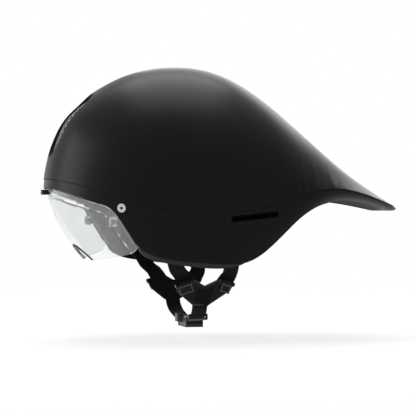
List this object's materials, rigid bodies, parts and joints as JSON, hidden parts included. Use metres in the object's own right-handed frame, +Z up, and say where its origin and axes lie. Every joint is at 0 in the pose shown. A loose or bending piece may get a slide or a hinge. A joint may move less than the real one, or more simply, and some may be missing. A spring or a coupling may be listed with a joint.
{
  "type": "aero time trial helmet",
  "caption": "Teardrop cycling helmet with a long tail, a clear slide-off visor, a mesh nose intake, a dial-tightened nape retention and webbing straps with a slide buckle.",
  "frame": {"origin": "middle of the head cavity", "axes": "-Y towards the face, +Y towards the tail, +X to the rider's left, +Z up"},
  "size_m": [0.2324, 0.3606, 0.2575],
  "materials": {
    "shell_black": "matt clear coat over black",
    "lower_black": "matt black",
    "liner_foam": "black beaded foam",
    "trim_rubber": "matt",
    "mesh_plastic": "fine matt",
    "vent_plastic": "satin",
    "ring_metal": "satin",
    "magnet_metal": "nickel plated",
    "pad_fabric": "brushed pad cloth",
    "band_nylon": "satin nylon",
    "hard_plastic": "fine texture",
    "dial_rubber": "matt",
    "webbing": "woven",
    "buckle_plastic": "fine texture",
    "screw_steel": "turned",
    "lens_clear": "clear polycarbonate"
  },
  "bodies": {
    "helmet": {"upper_shell": "shell_black", "lower_shell": "lower_black", "tail_tray": "lower_black", "crown_liner": "liner_foam", "ear_liner_left": "liner_foam", "ear_liner_right": "liner_foam", "tail_liner": "liner_foam", "rim_trim": "trim_rubber", "intake_bezel": "vent_plastic", "intake_mesh": "mesh_plastic", "side_vent_left": "vent_plastic", "side_vent_right": "vent_plastic", "temple_rings": "ring_metal", "seat_magnets": "magnet_metal", "brow_pad": "pad_fabric", "crown_pad_centre": "pad_fabric", "crown_pad_left": "pad_fabric", "crown_pad_right": "pad_fabric", "cheek_pad_left": "pad_fabric", "cheek_pad_right": "pad_fabric", "height_rail": "hard_plastic", "band_guide_left": "band_nylon", "band_guide_right": "band_nylon", "strap_anchors": "hard_plastic", "strap_front_left": "webbing", "strap_front_right": "webbing", "strap_rear_left": "webbing", "strap_rear_right": "webbing", "divider_left": "hard_plastic", "divider_right": "hard_plastic", "gate_pins": "screw_steel", "chin_strap_left": "webbing", "chin_strap_right": "webbing", "strap_keeper": "hard_plastic", "buckle_base": "buckle_plastic", "base_magnets": "magnet_metal"},
    "visor": {"visor_lens": "lens_clear", "visor_clip": "vent_plastic", "visor_tabs": "vent_plastic", "visor_magnets": "magnet_metal", "nose_trim": "trim_rubber"},
    "cradle": {"nape_cradle": "hard_plastic", "nape_pads": "pad_fabric", "housing_base": "hard_plastic", "housing_cover": "hard_plastic"},
    "left_band": {"band_left": "band_nylon"},
    "right_band": {"band_right": "band_nylon"},
    "dial": {"dial_knob": "dial_rubber", "pinion_gear": "band_nylon", "dial_screw": "screw_steel"},
    "front_gate_left": {"gate_front_left": "hard_plastic"},
    "front_gate_right": {"gate_front_right": "hard_plastic"},
    "rear_gate_left": {"gate_rear_left": "hard_plastic"},
    "rear_gate_right": {"gate_rear_right": "hard_plastic"},
    "slider": {"buckle_slider": "buckle_plastic", "slider_magnets": "magnet_metal"}
  },
  "joints": [
    {"name": "visor_release", "type": "slide", "parent": "helmet", "child": "visor", "axis": [0, -1, 0], "range_m": [0, 0.06]},
    {"name": "cradle_height", "type": "slide", "parent": "helmet", "child": "cradle", "axis": [0, 0, 1], "range_m": [-0.005, 0.005]},
    {"name": "dial_turn", "type": "hinge", "parent": "cradle", "child": "dial", "pos_m": [0, 0.1, -0.038], "axis": [0, 1, 0], "range_deg": [-90, 90]},
    {"name": "band_left_slide", "type": "hinge", "parent": "cradle", "child": "left_band", "pos_m": [0, 0.022, -0.038], "axis": [0, 0, 1], "range_deg": [-6.25, 6.25]},
    {"name": "band_right_slide", "type": "hinge", "parent": "cradle", "child": "right_band", "pos_m": [0, 0.022, -0.038], "axis": [0, 0, 1], "range_deg": [-6.25, 6.25]},
    {"name": "gate_front_left_turn", "type": "hinge", "parent": "helmet", "child": "front_gate_left", "pos_m": [0.07228, 0.00413, -0.10083], "axis": [-0.05, -0.9529, -0.299], "range_deg": [0, 90]},
    {"name": "gate_front_right_turn", "type": "hinge", "parent": "helmet", "child": "front_gate_right", "pos_m": [-0.07228, 0.00413, -0.10083], "axis": [-0.05, 0.9529, 0.299], "range_deg": [0, 90]},
    {"name": "gate_rear_left_turn", "type": "hinge", "parent": "helmet", "child": "rear_gate_left", "pos_m": [0.07236, 0.04687, -0.10033], "axis": [0.0528, -0.9475, 0.3153], "range_deg": [0, 90]},
    {"name": "gate_rear_right_turn", "type": "hinge", "parent": "helmet", "child": "rear_gate_right", "pos_m": [-0.07236, 0.04687, -0.10033], "axis": [0.0528, 0.9475, -0.3153], "range_deg": [0, 90]},
    {"name": "buckle_release", "type": "slide", "parent": "helmet", "child": "slider", "axis": [0, -1, 0], "range_m": [0, 0.02], "deforming": ["chin_strap_right"]}
  ],
  "couplings": [
    {"joint": "band_left_slide", "follows": "dial_turn", "ratio": -0.069444},
    {"joint": "band_right_slide", "follows": "dial_turn", "ratio": 0.069444}
  ]
}
